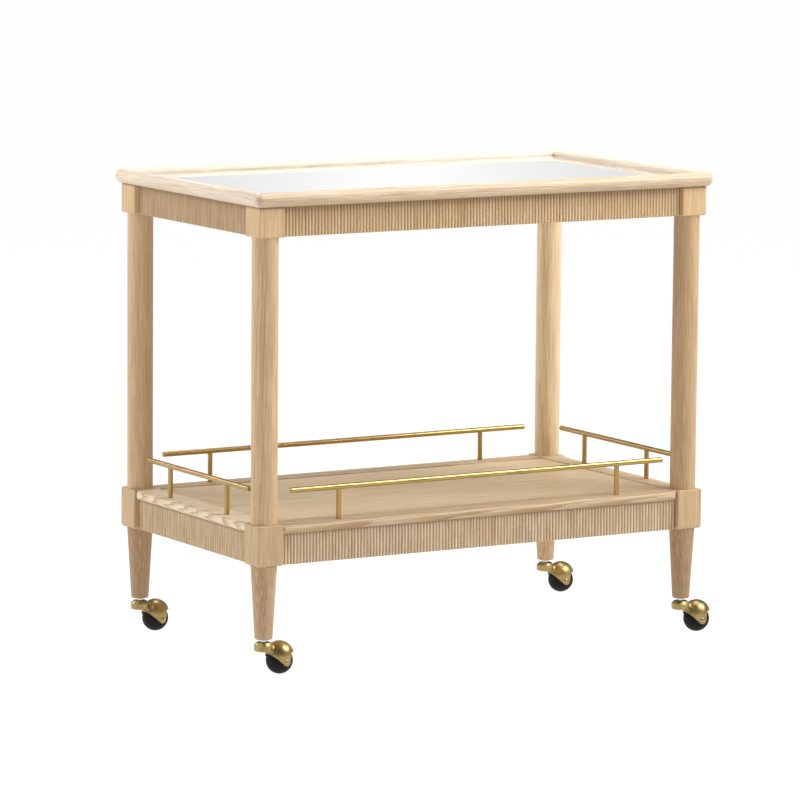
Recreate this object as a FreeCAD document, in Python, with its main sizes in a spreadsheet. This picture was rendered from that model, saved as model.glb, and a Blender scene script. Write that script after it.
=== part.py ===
import FreeCAD, Part
import math
import os
import Sketcher
from FreeCAD import Placement, Rotation, Vector

# A bar cart: mirrored tray on reeded aprons, four round posts, a shelf with brass gallery rails, and
# four tapered feet on swivelling ball casters.
# Millimetres. The origin lies on the floor under the middle of the tray, X to the right along the
# long side, Y to the back, Z up.

# Driving dimensions: name, size, what it measures.
SIZES = [
    ("tray_width", 939.8, "tray rim, left to right"),
    ("tray_depth", 533.4, "tray rim, front to back"),
    ("cart_height", 840.7, "floor to the top of the tray rim"),
    ("rim_thickness", 25.0, "height of the tray rim"),
    ("rim_width", 21.0, "tray rim from its outer edge to the mirror"),
    ("lip_radius", 8.0, "rounding of the rim's inner top edge"),
    ("rim_ledge", 14.0, "width of the ledge under the backing board"),
    ("mirror_recess", 10.0, "mirror face below the top of the rim"),
    ("mirror_thickness", 4.0, "mirror glass"),
    ("backing_thickness", 6.0, "board under the mirror"),
    ("panel_gap", 0.4, "play round a panel in its frame"),
    ("tray_overhang", 11.0, "rim beyond the corner blocks"),
    ("block_side", 50.8, "side of a corner block"),
    ("block_round", 2.6, "rounded edges of a corner block"),
    ("block_under_round", 5.0, "rounded edges under a lower block"),
    ("top_block_height", 52.6, "corner block under the tray"),
    ("lower_block_height", 72.0, "corner block at the shelf"),
    ("post_diameter", 46.4, "round post"),
    ("foot_length", 129.7, "tapered foot"),
    ("foot_tip_diameter", 31.0, "foot at its lower end"),
    ("foot_round", 3.0, "rounding of the foot's lower edge"),
    ("caster_height", 63.9, "floor to the underside of a foot"),
    ("apron_setback", 10.0, "apron face behind the face of the blocks"),
    ("apron_thickness", 18.0, "apron, reeds included"),
    ("reed_pitch", 6.4, "one reed to the next, near enough to fill the apron evenly"),
    ("reed_height", 2.3, "reed crest above the groove"),
    ("tenon_length", 14.0, "apron tenon"),
    ("tenon_thickness", 8.0, "apron tenon"),
    ("tenon_shoulder", 9.0, "apron above and below its tenon"),
    ("joint_gap", 0.15, "play of a tenon, stud, insert or spigot in its hole"),
    ("shelf_drop", 1.0, "shelf rails below the top of the lower blocks"),
    ("shelf_rail_thickness", 17.0, "shelf rail"),
    ("nose_setback", 3.0, "shelf rail nose behind the face of the blocks"),
    ("nose_corner", 7.0, "rounded ends of a shelf rail nose, seen from above"),
    ("shelf_recess", 1.5, "shelf panel below the shelf rails"),
    ("shelf_panel_thickness", 14.0, "shelf panel"),
    ("tongue_length", 6.0, "tongue round the shelf panel"),
    ("tongue_thickness", 6.0, "tongue round the shelf panel"),
    ("gallery_setback", 21.0, "gallery rail line behind the face of the blocks"),
    ("gallery_rise", 56.6, "middle of a gallery bar above the shelf rails"),
    ("bar_diameter", 9.5, "gallery bar"),
    ("gallery_post_diameter", 9.0, "gallery post"),
    ("long_bar_gap", 26.0, "end of the front and back bars to the post beside it"),
    ("long_bar_reach", 96.5, "front and back bars beyond their gallery posts"),
    ("short_bar_gap", 20.0, "end of the side bars to the post beside it"),
    ("short_bar_reach", 82.0, "side bars beyond their gallery posts"),
    ("spigot_diameter", 5.0, "top of a gallery post, let into its bar"),
    ("spigot_length", 4.0, "top of a gallery post, let into its bar"),
    ("bar_chamfer", 0.6, "ends of a gallery bar"),
    ("gallery_stud_diameter", 5.0, "stud under a gallery post"),
    ("gallery_stud_depth", 12.0, "stud in the shelf rail, and in the gallery post"),
    ("leg_stud_diameter", 8.0, "threaded stud in posts, blocks and feet"),
    ("leg_stud_depth", 38.0, "stud in a post, a foot or a top block"),
    ("insert_diameter", 12.0, "threaded insert for a caster stem"),
    ("insert_length", 24.0, "threaded insert for a caster stem"),
    ("ball_diameter", 47.4, "ball wheel"),
    ("ball_width", 43.6, "ball wheel across its flat hub faces"),
    ("ball_seam", 0.8, "width and depth of the groove round the ball"),
    ("trail", 33.2, "caster stem to axle"),
    ("axle_diameter", 5.0, "caster axle"),
    ("axle_play", 0.08, "ball on its axle, and hood on its stem, all round"),
    ("rivet_diameter", 8.0, "head of the axle"),
    ("rivet_height", 1.6, "head of the axle"),
    ("hood_play", 0.3, "ball to the inside of the hood"),
    ("hood_wall", 1.4, "hood sheet"),
    ("hood_height", 58.3, "floor to the top of the hood"),
    ("lobe_radius", 7.5, "rounded cheek of the hood round the axle"),
    ("hood_rear_rise", 15.5, "rear edge of the hood above the axle"),
    ("hood_rear_run", 10.5, "rear edge of a cheek behind the axle"),
    ("hood_front_run", 3.0, "front edge of the hood behind the stem"),
    ("collar_diameter", 33.0, "round head of the hood"),
    ("collar_thickness", 15.2, "round head of the hood"),
    ("collar_gap", 5.4, "round head of the hood to the foot"),
    ("collar_slope_run", 4.5, "sloping shoulder of the round head, inwards"),
    ("collar_slope_drop", 4.6, "sloping shoulder of the round head, downwards"),
    ("collar_edge_round", 2.0, "lower edge of the round head"),
    ("neck_round", 2.5, "hollow corner where the round head meets the dome"),
    ("washer_diameter", 22.0, "black washer in the round head"),
    ("washer_thickness", 3.0, "black washer in the round head"),
    ("washer_play", 0.3, "washer to the hood, and hood to the stem's lower head"),
    ("stem_diameter", 8.0, "caster stem"),
    ("stem_flange_diameter", 12.0, "flange of the stem under the foot, and its lower head"),
    ("stem_head_thickness", 2.0, "lower head of the stem"),
    ("heading_front_left", 4.5, "where a caster trails, in degrees from +X towards +Y"),
    ("heading_back_left", 6.0, "where a caster trails"),
    ("heading_back_right", -5.0, "where a caster trails"),
    ("heading_front_right", -5.0, "where a caster trails"),
]

doc = FreeCAD.newDocument("bar_cart")
dims = doc.addObject("Spreadsheet::Sheet", "dims")
for row, (alias, number, meaning) in enumerate(SIZES, 1):
    dims.set("A%d" % row, alias)
    dims.set("B%d" % row, str(number))
    dims.set("C%d" % row, meaning)
    dims.setAlias("B%d" % row, alias)
doc.recompute()

# Levels and places that several pieces share.
RIM_BASE = "(dims.cart_height - dims.rim_thickness)"
TOP_BLOCK_BASE = "(%s - dims.top_block_height)" % RIM_BASE
BOARD_BASE = "(dims.cart_height - dims.mirror_recess - dims.mirror_thickness - dims.backing_thickness)"
LOWER_BLOCK_BASE = "(dims.caster_height + dims.foot_length)"
LOWER_BLOCK_TOP = "(%s + dims.lower_block_height)" % LOWER_BLOCK_BASE
SHELF_TOP = "(%s - dims.shelf_drop)" % LOWER_BLOCK_TOP
SHELF_BASE = "(%s - dims.shelf_rail_thickness)" % SHELF_TOP
PANEL_TOP = "(%s - dims.shelf_recess)" % SHELF_TOP
TONGUE_BASE = "(%s - (dims.shelf_panel_thickness + dims.tongue_thickness) / 2)" % PANEL_TOP
BAR_LEVEL = "(%s + dims.gallery_rise)" % SHELF_TOP
POST_X = "(dims.tray_width / 2 - dims.tray_overhang - dims.block_side / 2)"
POST_Y = "(dims.tray_depth / 2 - dims.tray_overhang - dims.block_side / 2)"
INNER_X = "(%s - dims.block_side / 2)" % POST_X
INNER_Y = "(%s - dims.block_side / 2)" % POST_Y
BALL_RADIUS = "(dims.ball_diameter / 2)"
HOOD_INSIDE = "(%s + dims.hood_play)" % BALL_RADIUS
HOOD_OUTSIDE = "(%s + dims.hood_wall)" % HOOD_INSIDE
HOOD_CENTRE = "(dims.hood_height - %s)" % HOOD_OUTSIDE
COLLAR_TOP = "(dims.caster_height - dims.collar_gap)"
COLLAR_BASE = "(%s - dims.collar_thickness)" % COLLAR_TOP
STUD_HOLE = "(dims.leg_stud_diameter / 2 + dims.joint_gap)"

# Each corner: its name and the signs of its X and Y. Each side: its name, the turn that brings a
# piece drawn at the front round to it, the rim's length, its distance from the middle, half the space
# between its corner blocks, and its gallery bar.
CORNERS = [("front_left", -1, -1), ("front_right", 1, -1), ("back_right", 1, 1), ("back_left", -1, 1)]
LONG_BAR = {"gap": "dims.long_bar_gap", "reach": "dims.long_bar_reach", "post_line": POST_X}
SHORT_BAR = {"gap": "dims.short_bar_gap", "reach": "dims.short_bar_reach", "post_line": POST_Y}
SIDES = [
    ("front", 0, "dims.tray_width", "dims.tray_depth / 2", INNER_X, LONG_BAR),
    ("right", 90, "dims.tray_depth", "dims.tray_width / 2", INNER_Y, SHORT_BAR),
    ("back", 180, "dims.tray_width", "dims.tray_depth / 2", INNER_X, LONG_BAR),
    ("left", 270, "dims.tray_depth", "dims.tray_width / 2", INNER_Y, SHORT_BAR),
]
UP = Vector(0, 0, 1)
ALONG_X = Rotation(Vector(0, 1, 0), 90)
ALONG_Y = Rotation(Vector(1, 0, 0), -90)
nodes = []


def size(expression):
    """The number that an expression over the sheet comes to."""
    return float(dims.evalExpression(expression))


def bind(item, **expressions):
    """Tie an object's properties to expressions over the sheet."""
    for name, expression in expressions.items():
        item.setExpression(name, expression)
    return item


def place(item, x="0", y="0", z="0", rotation=None):
    """Turn an object by a fixed rotation and tie its position to the sheet."""
    item.Placement = Placement(Vector(size(x), size(y), size(z)), rotation or Rotation())
    for axis, expression in (("x", x), ("y", y), ("z", z)):
        item.setExpression("Placement.Base." + axis, expression)
    return item


def node(item, name):
    """Give an object its own name and count it among the cart's pieces."""
    item.Label = name
    nodes.append(item)
    return item


def cylinder(name, radius, height, x="0", y="0", z="0", rotation=None):
    """A plain cylinder that stands on its lower end, or lies along the turned axis."""
    item = bind(doc.addObject("Part::Cylinder", name), Radius=radius, Height=height)
    return place(item, x, y, z, rotation)


def box(name, length, width, height, x, y, z):
    """A plain block with its middle over x and y, standing on z."""
    item = bind(doc.addObject("Part::Box", name), Length=length, Width=width, Height=height)
    return place(item, "%s - (%s) / 2" % (x, length), "%s - (%s) / 2" % (y, width), z)


def cut(name, base, tool):
    """One object with another taken out of it."""
    item = doc.addObject("Part::Cut", name)
    item.Base = base
    item.Tool = tool
    return item


def group(name, items):
    """Separate like pieces that share one node."""
    item = doc.addObject("Part::Compound", name)
    item.Links = items
    return node(item, name)


def arc_between(start, end, radius):
    """The short arc of a given radius between two points; a negative radius turns clockwise."""
    chord = end - start
    middle = (start + end) * 0.5
    away = math.sqrt(max(radius * radius - chord.Length ** 2 / 4, 0.0))
    left = Vector(-chord.y, chord.x, 0).normalize()
    centre = middle + left * math.copysign(away, radius)
    first, last = (start, end) if radius > 0 else (end, start)
    circle = Part.Circle(centre, UP, abs(radius))
    return Part.ArcOfCircle(circle, circle.parameter(first), circle.parameter(last))


def outline(body, name, role, *loops):
    """Draw closed outlines on one of a body's own origin planes, fixed by the sheet.

    A corner is (across, up); a third item is the radius of the arc from there to the next corner,
    negative where that arc turns clockwise.
    """
    sketch = body.newObject("Sketcher::SketchObject", name)
    plane = [feature for feature in body.Origin.OriginFeatures if feature.Role == role][0]
    sketch.AttachmentSupport = (plane, [""])
    sketch.MapMode = "FlatFace"
    for corners in loops:
        points = [Vector(size(corner[0]), size(corner[1]), 0) for corner in corners]
        edges = []
        for index, corner in enumerate(corners):
            start = points[index]
            end = points[(index + 1) % len(points)]
            if len(corner) == 3:
                radius = size(corner[2])
                edge = sketch.addGeometry(arc_between(start, end, radius))
                edges.append((edge, 1, 2) if radius > 0 else (edge, 2, 1))
                length = sketch.addConstraint(Sketcher.Constraint("Radius", edge, abs(radius)))
                sketch.setExpression("Constraints[%d]" % length, "abs(%s)" % corner[2])
            else:
                edges.append((sketch.addGeometry(Part.LineSegment(start, end)), 1, 2))
        for index, (edge, start, end) in enumerate(edges):
            following = edges[(index + 1) % len(edges)]
            sketch.addConstraint(Sketcher.Constraint("Coincident", edge, end, following[0], following[1]))
            for kind, expression in (("DistanceX", corners[index][0]), ("DistanceY", corners[index][1])):
                fixed = sketch.addConstraint(Sketcher.Constraint(kind, edge, start, size(expression)))
                sketch.setExpression("Constraints[%d]" % fixed, expression)
    return sketch


def padded(name, role, length, *loops):
    """A body made by padding outlines evenly to both sides of one of its planes."""
    body = doc.addObject("PartDesign::Body", name)
    pad = body.newObject("PartDesign::Pad", name + "_pad")
    pad.Profile = outline(body, name + "_outline", role, *loops)
    pad.SideType = "Symmetric"
    bind(pad, Length=length)
    doc.recompute()
    return body


def pocket_through(body, name, *loops):
    """Cut outlines in plan right through a body, upwards and downwards."""
    pocket = body.newObject("PartDesign::Pocket", name)
    pocket.Profile = outline(body, name + "_outline", "XY_Plane", *loops)
    pocket.Type = "ThroughAll"
    pocket.SideType = "Symmetric"
    doc.recompute()


def turned(name, role, axis, corners):
    """A body made on the lathe: an outline turned round the sketch's own axis."""
    body = doc.addObject("PartDesign::Body", name)
    sketch = outline(body, name + "_outline", role, corners)
    turn = body.newObject("PartDesign::Revolution", name + "_turn")
    turn.Profile = sketch
    turn.ReferenceAxis = (sketch, [axis])
    turn.Angle = 360
    doc.recompute()
    return body


def primitive(body, kind, name, x="0", y="0", z="0", rotation=None, **sizes):
    """Add or take away a simple solid inside a body."""
    feature = bind(body.newObject("PartDesign::" + kind, name), **sizes)
    place(feature, x, y, z, rotation)
    doc.recompute()
    return feature


def rounded_edges(body, name, base, radius, chosen):
    """Round the edges of a feature that a test picks out."""
    fillet = body.newObject("PartDesign::Fillet", name)
    names = ["Edge%d" % index for index, edge in enumerate(base.Shape.Edges, 1) if chosen(edge)]
    fillet.Base = (base, names)
    bind(fillet, Radius=radius)
    doc.recompute()


def side_placed(item, turn):
    """Bring a piece that was drawn at the front round to its own side."""
    item.Placement = Placement(Vector(), Rotation(UP, turn))
    return item


def tray_rail(name, turn, run, reach):
    """Tray rail: half-round outer edge, rounded inner lip, ledge for the board, mitred ends.

    At a tray corner the half-round edge runs round a quarter circle, so each rail ends in a slice of a ball.
    """
    nose = "(dims.rim_thickness / 2)"
    lip = "(dims.cart_height - dims.lip_radius)"
    outer = "(%s - (" + reach + "))"
    whole = "dims.rim_width + dims.rim_ledge"
    middle = "(%s + %s)" % (RIM_BASE, nose)
    body = padded(name, "YZ_Plane", run, [
        (outer % "0", middle, nose),
        (outer % nose, RIM_BASE),
        (outer % whole, RIM_BASE),
        (outer % whole, BOARD_BASE),
        (outer % "dims.rim_width", BOARD_BASE),
        (outer % "dims.rim_width", lip, "dims.lip_radius"),
        (outer % "(dims.rim_width - dims.lip_radius)", "dims.cart_height"),
        (outer % nose, "dims.cart_height", nose),
    ])
    mitre = "2 * (%s)" % whole
    ends = []
    for hand in ("-1", "1"):
        end = "%s * (%s) / 2" % (hand, run)
        shoulder = "%s * ((%s) / 2 - %s)" % (hand, run, nose)
        inside = "%s * ((%s) / 2 - %s)" % (hand, run, mitre)
        ends.append([(shoulder, outer % "0"), (end, outer % "0"), (end, outer % mitre),
                     (inside, outer % mitre), (shoulder, outer % nose)])
    pocket_through(body, name + "_mitres", *ends)
    for end, hand, start in (("left", "-1", -135), ("right", "1", -90)):
        shoulder = "%s * ((%s) / 2 - %s)" % (hand, run, nose)
        primitive(body, "AdditiveSphere", "%s_%s_corner" % (name, end), shoulder, outer % nose, middle,
                  Rotation(UP, start), Radius=nose, Angle3="45")
    return node(side_placed(body, turn), name)


def corner_block(name, hand_x, hand_y, base, height, stud_depth, apron_height, under=None):
    """Square corner block: rounded edges, stud hole from below, mortises for two apron tenons.

    A block with a larger rounding underneath gets that first, and the upright edges then run into it.
    """
    half = "dims.block_side / 2"
    body = doc.addObject("PartDesign::Body", name)
    cube = primitive(body, "AdditiveBox", name + "_cube", "-" + half, "-" + half,
                     Length="dims.block_side", Width="dims.block_side", Height=height)
    if under:
        rounded_edges(body, name + "_under", cube, under, lambda edge: edge.BoundBox.ZMax < size(under))
    rounded_edges(body, name + "_rounds", body.Tip, "dims.block_round",
                  lambda edge: not under or edge.BoundBox.ZMax > size(height) - size(under))
    primitive(body, "SubtractiveCylinder", name + "_stud_hole", Radius=STUD_HOLE, Height=stud_depth)
    depth = "(dims.tenon_length + dims.joint_gap)"
    wide = "(dims.tenon_thickness + 2 * dims.joint_gap)"
    tall = "(%s - 2 * dims.tenon_shoulder + 2 * dims.joint_gap)" % apron_height
    off_centre = "(%s - dims.apron_setback - dims.apron_thickness / 2)" % half
    low = "dims.tenon_shoulder - dims.joint_gap"
    deep = "(%s - %s)" % (half, depth)
    inward_x = deep if hand_x < 0 else "-" + half
    inward_y = deep if hand_y < 0 else "-" + half
    primitive(body, "SubtractiveBox", name + "_long_mortise", inward_x,
              "%d * %s - %s / 2" % (hand_y, off_centre, wide), low,
              Length=depth, Width=wide, Height=tall)
    primitive(body, "SubtractiveBox", name + "_short_mortise",
              "%d * %s - %s / 2" % (hand_x, off_centre, wide), inward_y, low,
              Length=wide, Width=depth, Height=tall)
    place(body, "%d * %s" % (hand_x, POST_X), "%d * %s" % (hand_y, POST_Y), base)
    return node(body, name)


def post(name, hand_x, hand_y):
    """Round post with a stud hole in each end."""
    length = "(%s - %s)" % (TOP_BLOCK_BASE, LOWER_BLOCK_TOP)
    depth = "dims.leg_stud_depth"
    body = doc.addObject("PartDesign::Body", name)
    primitive(body, "AdditiveCylinder", name + "_round", Radius="dims.post_diameter / 2", Height=length)
    primitive(body, "SubtractiveCylinder", name + "_lower_hole", Radius=STUD_HOLE, Height=depth)
    primitive(body, "SubtractiveCylinder", name + "_upper_hole", z="%s - %s" % (length, depth),
              Radius=STUD_HOLE, Height=depth)
    place(body, "%d * %s" % (hand_x, POST_X), "%d * %s" % (hand_y, POST_Y), LOWER_BLOCK_TOP)
    return node(body, name)


def foot(name, hand_x, hand_y):
    """Tapered round foot: stud hole above, seat for the caster's insert below."""
    body = doc.addObject("PartDesign::Body", name)
    cone = primitive(body, "AdditiveCone", name + "_taper", Radius1="dims.foot_tip_diameter / 2",
                     Radius2="dims.post_diameter / 2", Height="dims.foot_length")
    rounded_edges(body, name + "_round", cone, "dims.foot_round",
                  lambda edge: edge.BoundBox.ZMax < 0.001)
    primitive(body, "SubtractiveCylinder", name + "_stud_hole", z="dims.foot_length - dims.leg_stud_depth",
              Radius=STUD_HOLE, Height="dims.leg_stud_depth")
    primitive(body, "SubtractiveCylinder", name + "_insert_seat",
              Radius="dims.insert_diameter / 2 + dims.joint_gap", Height="dims.insert_length")
    place(body, "%d * %s" % (hand_x, POST_X), "%d * %s" % (hand_y, POST_Y), "dims.caster_height")
    return node(body, name)


def reeded_apron(name, turn, reach, inner, base, height):
    """Apron board with half-round reeds on its face and a tenon at each end."""
    length = 2 * size(inner)
    tall = size(height)
    thick = size("dims.apron_thickness")
    groove = size("dims.reed_height") - thick
    count = max(1, round(length / size("dims.reed_pitch")))
    step = length / count
    edges = []
    for reed in range(count):
        left = reed * step - length / 2
        crest = Vector(left + step / 2, -thick, 0)
        edges.append(Part.Arc(Vector(left, groove, 0), crest, Vector(left + step, groove, 0)).toShape())
    back = [Vector(length / 2, groove, 0), Vector(length / 2, 0, 0),
            Vector(-length / 2, 0, 0), Vector(-length / 2, groove, 0)]
    for start, end in zip(back, back[1:]):
        edges.append(Part.LineSegment(start, end).toShape())
    board = Part.Face(Part.Wire(edges)).extrude(Vector(0, 0, tall))
    shoulder = size("dims.tenon_shoulder")
    tenon_thick = size("dims.tenon_thickness")
    whole = length + 2 * size("dims.tenon_length")
    corner = Vector(-whole / 2, -(thick + tenon_thick) / 2, shoulder)
    tenons = Part.makeBox(whole, tenon_thick, tall - 2 * shoulder, corner)
    item = doc.addObject("Part::Feature", name)
    item.Shape = board.fuse(tenons).removeSplitter()
    face = size("%s - dims.tray_overhang - dims.apron_setback" % reach)
    rotation = Rotation(UP, turn)
    item.Placement = Placement(rotation.multVec(Vector(0, thick - face, size(base))), rotation)
    return node(item, name)


def shelf_rail(name, turn, reach, inner, bar):
    """Shelf rail: bullnose edge with rounded ends, groove for the panel, holes for gallery studs."""
    nose = "(dims.shelf_rail_thickness / 2)"
    face = "(%s - dims.tray_overhang - dims.nose_setback)" % reach
    outer = "(%s - " + face + ")"
    whole = "(dims.block_side - dims.nose_setback)"
    groove = "(%s - dims.tongue_length - dims.joint_gap)" % whole
    groove_base = "(%s - dims.joint_gap)" % TONGUE_BASE
    groove_top = "(%s + dims.tongue_thickness + dims.joint_gap)" % TONGUE_BASE
    body = padded(name, "YZ_Plane", "2 * %s" % inner, [
        (outer % "0", "%s + %s" % (SHELF_BASE, nose), nose),
        (outer % nose, SHELF_BASE),
        (outer % whole, SHELF_BASE),
        (outer % whole, groove_base),
        (outer % groove, groove_base),
        (outer % groove, groove_top),
        (outer % whole, groove_top),
        (outer % whole, SHELF_TOP),
        (outer % nose, SHELF_TOP, nose),
    ])
    left, right = "-" + inner, inner
    corner = "dims.nose_corner"
    pocket_through(body, name + "_ends", [
        (left, outer % "0"),
        ("%s + %s" % (left, corner), outer % "0", "-" + corner),
        (left, outer % corner),
    ], [
        (right, outer % "0"),
        (right, outer % corner, "-" + corner),
        ("%s - %s" % (right, corner), outer % "0"),
    ])
    for hand in (-1, 1):
        primitive(body, "SubtractiveCylinder", "%s_stud_hole_%d" % (name, hand > 0),
                  "%d * %s" % (hand, gallery_place(bar)), "-" + gallery_line(reach),
                  "%s - dims.gallery_stud_depth" % SHELF_TOP,
                  Radius="dims.gallery_stud_diameter / 2 + dims.joint_gap", Height="dims.gallery_stud_depth")
    return node(side_placed(body, turn), name)


def gallery_line(reach):
    """How far a gallery rail stands from the middle of the cart."""
    return "(%s - dims.tray_overhang - dims.gallery_setback)" % reach


def bar_half(bar):
    """Half the length of a gallery bar, which stops short of the posts."""
    return "(%s - dims.post_diameter / 2 - %s)" % (bar["post_line"], bar["gap"])


def gallery_place(bar):
    """How far a gallery post stands from the middle of its bar."""
    return "(%s - %s)" % (bar_half(bar), bar["reach"])


def gallery_bar(name, turn, reach, bar):
    """Brass bar, chamfered at its ends, with a blind hole over each gallery post."""
    half = bar_half(bar)
    line = "-" + gallery_line(reach)
    body = doc.addObject("PartDesign::Body", name)
    rod = primitive(body, "AdditiveCylinder", name + "_rod", "-" + half, line, BAR_LEVEL, ALONG_X,
                    Radius="dims.bar_diameter / 2", Height="2 * " + half)
    chamfer = body.newObject("PartDesign::Chamfer", name + "_ends")
    ends = [index for index, edge in enumerate(rod.Shape.Edges, 1) if edge.BoundBox.XLength < 0.001]
    chamfer.Base = (rod, ["Edge%d" % index for index in ends])
    bind(chamfer, Size="dims.bar_chamfer")
    doc.recompute()
    for hand in (-1, 1):
        primitive(body, "SubtractiveCylinder", "%s_hole_%d" % (name, hand > 0),
                  "%d * %s" % (hand, gallery_place(bar)), line, "%s - dims.bar_diameter / 2" % BAR_LEVEL,
                  Radius="dims.spigot_diameter / 2 + dims.joint_gap",
                  Height="dims.spigot_length + dims.joint_gap")
    return node(side_placed(body, turn), name)


def gallery_posts(name, turn, reach, bar):
    """Two brass posts, hollowed on top to the bar's curve, with a spigot above and a stud hole below."""
    line = "-" + gallery_line(reach)
    posts = []
    for hand in (-1, 1):
        part = "%s_%d" % (name, hand > 0)
        along = "%d * %s" % (hand, gallery_place(bar))
        rod = cylinder(part + "_rod", "dims.gallery_post_diameter / 2", "dims.gallery_rise",
                       along, line, SHELF_TOP)
        saddle = cylinder(part + "_saddle", "dims.bar_diameter / 2", "dims.bar_diameter * 2",
                          "%s - dims.bar_diameter" % along, line, BAR_LEVEL, ALONG_X)
        low = "(dims.gallery_rise - dims.bar_diameter / 2 - dims.spigot_length)"
        spigot = cylinder(part + "_spigot", "dims.spigot_diameter / 2", "2 * dims.spigot_length",
                          along, line, "%s + %s" % (SHELF_TOP, low))
        hole = cylinder(part + "_hole", "dims.gallery_stud_diameter / 2 + dims.joint_gap",
                        "dims.gallery_stud_depth", along, line, SHELF_TOP)
        whole = doc.addObject("Part::Fuse", part + "_whole")
        whole.Base = cut(part + "_seat", rod, saddle)
        whole.Tool = spigot
        posts.append(side_placed(cut(part, whole, hole), turn))
    return group(name, posts)


def gallery_studs():
    """Headless studs, half in a shelf rail and half in a gallery post."""
    pairs = []
    for side, turn, run, reach, inner, bar in SIDES:
        pair = doc.addObject("Part::Compound", "gallery_stud_pair_" + side)
        pair.Links = [
            cylinder("gallery_stud_%s_%d" % (side, hand > 0), "dims.gallery_stud_diameter / 2",
                     "2 * dims.gallery_stud_depth", "%d * %s" % (hand, gallery_place(bar)),
                     "-" + gallery_line(reach), "%s - dims.gallery_stud_depth" % SHELF_TOP)
            for hand in (-1, 1)
        ]
        pairs.append(side_placed(pair, turn))
    return group("gallery_studs", pairs)


def leg_studs():
    """Threaded studs: post to top block, and post through the lower block into the foot."""
    studs = []
    depth = "dims.leg_stud_depth"
    for corner, hand_x, hand_y in CORNERS:
        x = "%d * %s" % (hand_x, POST_X)
        y = "%d * %s" % (hand_y, POST_Y)
        radius = "dims.leg_stud_diameter / 2"
        studs.append(cylinder("upper_stud_" + corner, radius, "2 * " + depth, x, y,
                              "%s - %s" % (TOP_BLOCK_BASE, depth)))
        studs.append(cylinder("lower_stud_" + corner, radius, "2 * %s + dims.lower_block_height" % depth,
                              x, y, "%s - %s" % (LOWER_BLOCK_BASE, depth)))
    return group("leg_studs", studs)


def shelf_panel():
    """Flat panel with a tongue along each edge, which stops at the corner blocks."""
    long_field = "2 * (%s - dims.panel_gap)" % INNER_X
    short_field = "2 * (%s - dims.panel_gap)" % INNER_Y
    panel = doc.addObject("Part::MultiFuse", "shelf_panel")
    panel.Shapes = [
        box("panel_field", long_field, short_field, "dims.shelf_panel_thickness", "0", "0",
            "%s - dims.shelf_panel_thickness" % PANEL_TOP),
        box("panel_end_tongues", "2 * (%s + dims.tongue_length)" % INNER_X, short_field,
            "dims.tongue_thickness", "0", "0", TONGUE_BASE),
        box("panel_edge_tongues", long_field, "2 * (%s + dims.tongue_length)" % INNER_Y,
            "dims.tongue_thickness", "0", "0", TONGUE_BASE),
    ]
    return node(panel, "shelf_panel")


def tray_panels():
    """Mirror glass on its backing board, both inside the rim."""
    length = "dims.tray_width - 2 * (dims.rim_width + dims.panel_gap)"
    width = "dims.tray_depth - 2 * (dims.rim_width + dims.panel_gap)"
    board = box("backing_board", length, width, "dims.backing_thickness", "0", "0", BOARD_BASE)
    glass = box("mirror", length, width, "dims.mirror_thickness", "0", "0",
                "%s + dims.backing_thickness" % BOARD_BASE)
    return [node(board, "mirror_backing_board"), node(glass, "mirror_panel")]


def caster_placed(item, corner, hand_x, hand_y, along="0", level="0"):
    """Set a caster piece under its foot, turned to that caster's heading."""
    heading = "dims.heading_" + corner
    x = "%d * %s + (%s) * cos(%s)" % (hand_x, POST_X, along, heading)
    y = "%d * %s + (%s) * sin(%s)" % (hand_y, POST_Y, along, heading)
    place(item, x, y, level, Rotation(UP, size(heading)))
    item.setExpression("Placement.Rotation.Angle", heading)
    return item


def on_both(edge, round_radius, dome_middle, dome_radius):
    """Whether an edge lies both on an upright cylinder round the origin and on a sphere."""
    if edge.Degenerated:
        return False
    point = edge.valueAt((edge.FirstParameter + edge.LastParameter) / 2)
    from_axis = math.hypot(point.x, point.y) - round_radius
    from_middle = point.distanceToPoint(dome_middle) - dome_radius
    return max(abs(from_axis), abs(from_middle)) < 0.01


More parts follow.
